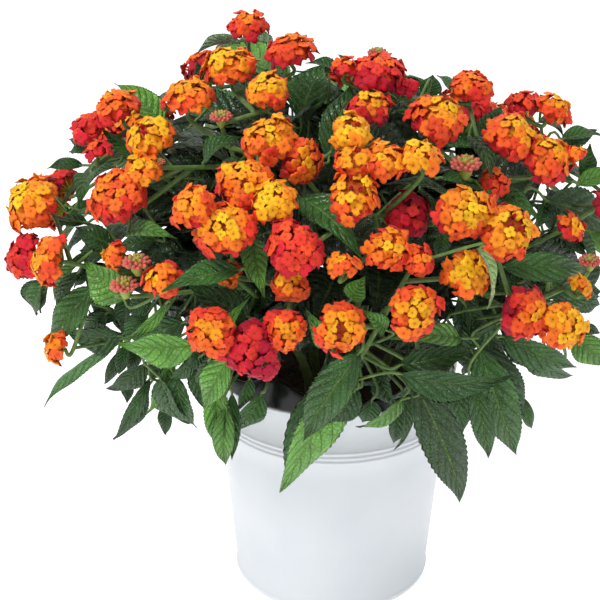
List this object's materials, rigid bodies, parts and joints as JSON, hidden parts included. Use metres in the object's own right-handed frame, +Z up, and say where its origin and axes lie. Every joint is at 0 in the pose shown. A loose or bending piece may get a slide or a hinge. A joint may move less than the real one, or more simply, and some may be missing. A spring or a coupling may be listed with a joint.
{
  "type": "potted lantana plant",
  "caption": "Bushy lantana in flower with domed multicoloured flower heads, in a nursery pot inside a white metal planter.",
  "frame": {"origin": "centre of the planter's flat bottom", "axes": "+Z up along the planter's axis, -Y towards the front of the bush, +X to its right"},
  "size_m": [0.4757, 0.4282, 0.4434],
  "materials": {
    "planter_enamel": "satin",
    "pot_plastic": "gloss",
    "potting_soil": "matte",
    "petals": "matte",
    "foliage": "satin"
  },
  "bodies": {
    "root": {"bloom_01": "petals", "bloom_02": "petals", "bloom_03": "petals", "bloom_04": "petals", "bloom_05": "petals", "bloom_06": "petals", "bloom_07": "petals", "bloom_08": "petals", "bloom_09": "petals", "bloom_10": "petals", "bloom_11": "petals", "bloom_12": "petals", "bloom_13": "petals", "bloom_14": "petals", "bloom_15": "petals", "bloom_16": "petals", "bloom_17": "petals", "bloom_18": "petals", "bloom_19": "petals", "bloom_20": "petals", "bloom_21": "petals", "bloom_22": "petals", "bloom_23": "petals", "bloom_24": "petals", "bloom_25": "petals", "bloom_26": "petals", "bloom_27": "petals", "bloom_28": "petals", "bloom_29": "petals", "bloom_30": "petals", "bloom_31": "petals", "bloom_32": "petals", "bloom_33": "petals", "bloom_34": "petals", "bloom_35": "petals", "bloom_36": "petals", "bloom_37": "petals", "bloom_38": "petals", "bloom_39": "petals", "bloom_40": "petals", "bloom_41": "petals", "bloom_42": "petals", "bloom_43": "petals", "leafy_stem_01": "foliage", "leafy_stem_02": "foliage", "leafy_stem_03": "foliage", "leafy_stem_04": "foliage", "leafy_stem_05": "foliage", "leafy_stem_06": "foliage", "leafy_stem_07": "foliage", "leafy_stem_08": "foliage", "leafy_stem_09": "foliage", "leafy_stem_10": "foliage", "leafy_stem_11": "foliage", "leafy_stem_12": "foliage", "leafy_stem_13": "foliage", "leafy_stem_14": "foliage", "nursery_pot": "pot_plastic", "planter": "planter_enamel", "soil": "potting_soil"}
  },
  "joints": []
}
